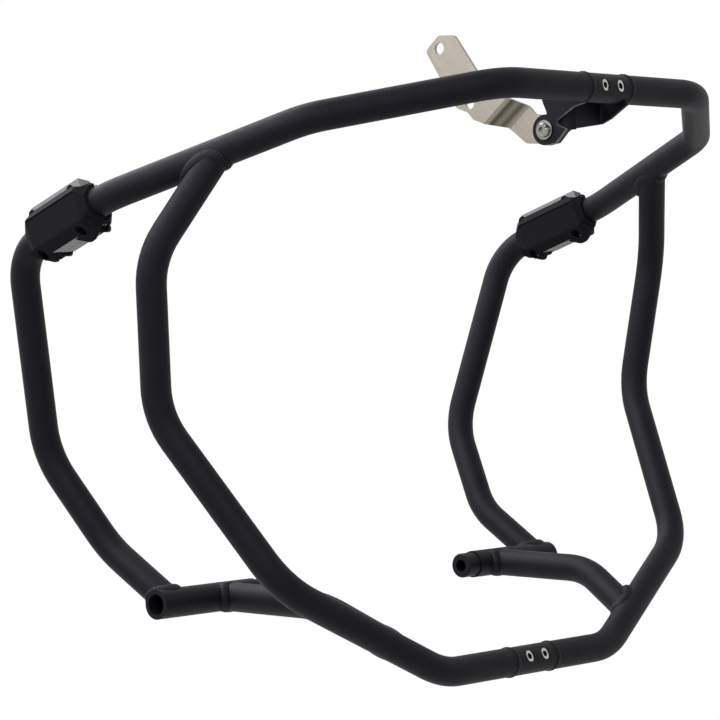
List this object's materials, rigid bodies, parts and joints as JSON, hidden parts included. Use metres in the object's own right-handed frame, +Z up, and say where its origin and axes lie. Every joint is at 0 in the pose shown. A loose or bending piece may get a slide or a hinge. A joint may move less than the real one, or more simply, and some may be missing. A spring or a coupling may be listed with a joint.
{
  "type": "motorcycle crash bars",
  "caption": "Bent tube engine guard in two halves, joined by screwed sockets, with welded bosses, clamped crash pads and a cranked stay strap.",
  "frame": {"origin": "midway between the two engine bosses, on the engine bolt's axis", "axes": "+X across to the rider's left along the engine bolt, +Y to the rear, +Z up"},
  "size_m": [0.7586, 0.4416, 0.5956],
  "materials": {
    "powder_coated_tube": "satin black powder coat on steel tube",
    "coated_weld": "black powder coat over rippled weld",
    "turned_bush": "satin black on turned steel",
    "coated_plate": "satin black powder coat on plate",
    "pad_plastic": "grained black moulding",
    "pad_clamp": "light grey moulding",
    "black_screw": "blackened steel",
    "bright_steel": "bright steel",
    "stainless_strap": "rolled stainless sheet"
  },
  "bodies": {
    "root": {"bottom_joint_screws": "bright_steel", "bottom_joint_socket": "powder_coated_tube", "bottom_joint_spigot": "powder_coated_tube", "bracket_bolt": "bright_steel", "bracket_front_plate": "coated_plate", "bracket_nut": "bright_steel", "bracket_rear_plate": "coated_plate", "bracket_washer": "bright_steel", "left_boss_bush": "turned_bush", "left_cross_tube": "powder_coated_tube", "left_front_tube": "powder_coated_tube", "left_hoop_tube": "powder_coated_tube", "left_mount_boss": "powder_coated_tube", "left_pad_inner_clamp": "pad_clamp", "left_pad_inner_cover": "pad_plastic", "left_pad_nuts": "bright_steel", "left_pad_outer_clamp": "pad_clamp", "left_pad_outer_cover": "pad_plastic", "left_pad_screws": "black_screw", "left_weld_beads": "coated_weld", "right_boss_bush": "turned_bush", "right_cross_tube": "powder_coated_tube", "right_front_tube": "powder_coated_tube", "right_hoop_tube": "powder_coated_tube", "right_mount_boss": "powder_coated_tube", "right_pad_inner_clamp": "pad_clamp", "right_pad_inner_cover": "pad_plastic", "right_pad_nuts": "bright_steel", "right_pad_outer_clamp": "pad_clamp", "right_pad_outer_cover": "pad_plastic", "right_pad_screws": "black_screw", "right_weld_beads": "coated_weld", "stay_strap": "stainless_strap", "top_joint_screws": "bright_steel", "top_joint_socket": "powder_coated_tube", "top_joint_spigot": "powder_coated_tube"}
  },
  "joints": []
}
